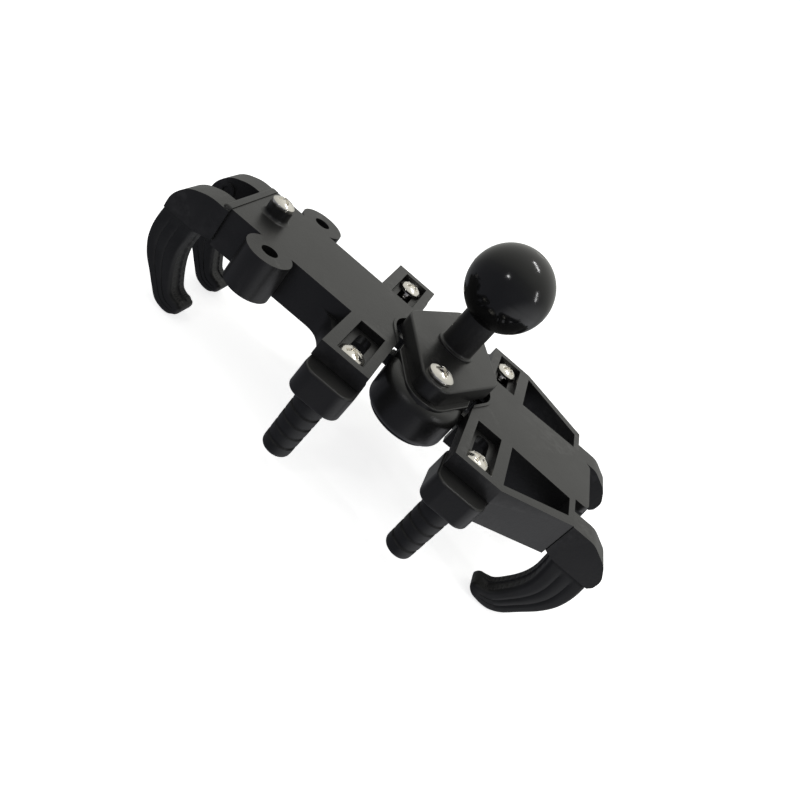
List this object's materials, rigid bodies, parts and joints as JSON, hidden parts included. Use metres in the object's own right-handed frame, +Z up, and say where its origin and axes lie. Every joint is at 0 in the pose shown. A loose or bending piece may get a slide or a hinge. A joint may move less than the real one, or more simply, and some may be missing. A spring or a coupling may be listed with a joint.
{
  "type": "phone handlebar mount",
  "caption": "Ball-mounted phone cradle with two linked spring-drawn arms, hooked rubber claws and sliding rubber side posts.",
  "frame": {"origin": "centre of the mounting ball", "axes": "+Z up through the ball, away from the phone; +X along the cradle towards the arm with the windows; +Y across the cradle"},
  "size_m": [0.1572, 0.093, 0.0807],
  "materials": {
    "coated_alloy": "black satin powder coat on die-cast aluminium",
    "ball_rubber": "glossy black rubber moulded over the metal ball",
    "finger_rubber": "matt charcoal rubber",
    "pad_rubber": "matt black rubber",
    "bright_screw": "bright nickel plate",
    "plain_steel": "plain turned steel",
    "spring_steel": "blued spring steel strip",
    "gear_plastic": "black acetal"
  },
  "bodies": {
    "base": {"ball_base_plate": "coated_alloy", "ball_skin": "ball_rubber", "plate_screws": "bright_screw", "center_housing": "coated_alloy", "bottom_cover": "coated_alloy", "cover_screws": "plain_steel", "phone_pad": "pad_rubber", "pinion_axle": "plain_steel", "return_spring": "spring_steel"},
    "left_arm": {"left_arm_frame": "coated_alloy", "left_rack": "gear_plastic", "left_rack_screws": "plain_steel", "left_claw_bracket": "coated_alloy", "left_claw_pins": "plain_steel", "left_finger_front": "finger_rubber", "left_finger_rear": "finger_rubber", "left_clamp_screw": "bright_screw", "left_clamp_nut": "plain_steel"},
    "right_arm": {"right_arm_frame": "coated_alloy", "right_rack": "gear_plastic", "right_rack_screws": "plain_steel", "right_claw_bracket": "coated_alloy", "right_claw_pins": "plain_steel", "right_finger_front": "finger_rubber", "right_finger_rear": "finger_rubber", "right_bracket_screws": "plain_steel"},
    "pinion": {"pinion": "gear_plastic"},
    "left_front_post": {"left_front_carrier": "coated_alloy", "left_front_sleeve": "finger_rubber", "left_front_stud": "plain_steel", "left_front_post_screw": "bright_screw"},
    "left_rear_post": {"left_rear_carrier": "coated_alloy", "left_rear_sleeve": "finger_rubber", "left_rear_stud": "plain_steel", "left_rear_post_screw": "bright_screw"},
    "right_front_post": {"right_front_carrier": "coated_alloy", "right_front_sleeve": "finger_rubber", "right_front_stud": "plain_steel", "right_front_post_screw": "bright_screw"},
    "right_rear_post": {"right_rear_carrier": "coated_alloy", "right_rear_sleeve": "finger_rubber", "right_rear_stud": "plain_steel", "right_rear_post_screw": "bright_screw"}
  },
  "joints": [
    {"name": "left_arm_slide", "type": "slide", "parent": "base", "child": "left_arm", "axis": [-1, 0, 0], "range_m": [0, 0.025], "stiffness_N_per_m": 180, "springref_m": -0.06},
    {"name": "right_arm_slide", "type": "slide", "parent": "base", "child": "right_arm", "axis": [1, 0, 0], "range_m": [0, 0.025]},
    {"name": "pinion_turn", "type": "hinge", "parent": "base", "child": "pinion", "pos_m": [0, 0, -0.035], "axis": [0, 0, 1], "range_deg": [0, 320]},
    {"name": "left_front_post_slide", "type": "slide", "parent": "left_arm", "child": "left_front_post", "axis": [0, 1, 0], "range_m": [0, 0.0125]},
    {"name": "left_rear_post_slide", "type": "slide", "parent": "left_arm", "child": "left_rear_post", "axis": [0, -1, 0], "range_m": [0, 0.0125]},
    {"name": "right_front_post_slide", "type": "slide", "parent": "right_arm", "child": "right_front_post", "axis": [0, 1, 0], "range_m": [0, 0.0125]},
    {"name": "right_rear_post_slide", "type": "slide", "parent": "right_arm", "child": "right_rear_post", "axis": [0, -1, 0], "range_m": [0, 0.0125]}
  ],
  "couplings": [
    {"joint": "right_arm_slide", "follows": "left_arm_slide", "ratio": 1},
    {"joint": "pinion_turn", "follows": "left_arm_slide", "rad_per_m": 222.22}
  ]
}
